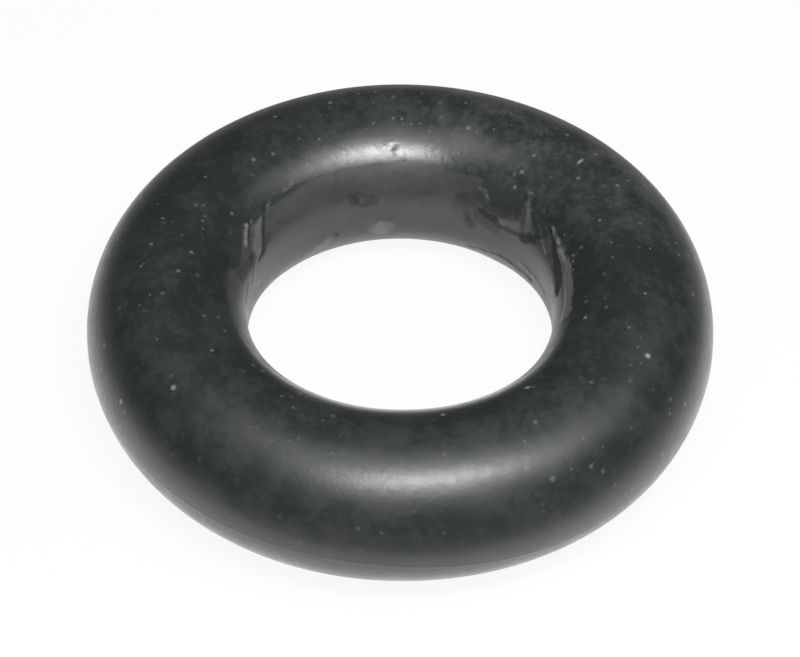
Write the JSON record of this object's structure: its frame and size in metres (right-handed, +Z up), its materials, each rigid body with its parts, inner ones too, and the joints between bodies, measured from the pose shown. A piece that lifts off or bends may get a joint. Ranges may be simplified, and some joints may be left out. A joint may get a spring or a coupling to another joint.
{
  "type": "dishwasher gasket",
  "caption": "Thick round-section rubber sealing ring that stretches over a spigot, with a narrow straight land around its bore.",
  "frame": {"origin": "on the ring's axis, in the plane that the ring lies on", "axes": "+Z up along the ring's axis; the ring is round, so +X and +Y are free, and both lie in the plane that it rests on"},
  "size_m": [0.0202, 0.0202, 0.0052],
  "materials": {
    "rubber": "satin black, matt and lightly dusty on the cord, glossier on the land"
  },
  "bodies": {
    "root": {"gasket_ring": "rubber"}
  },
  "joints": []
}
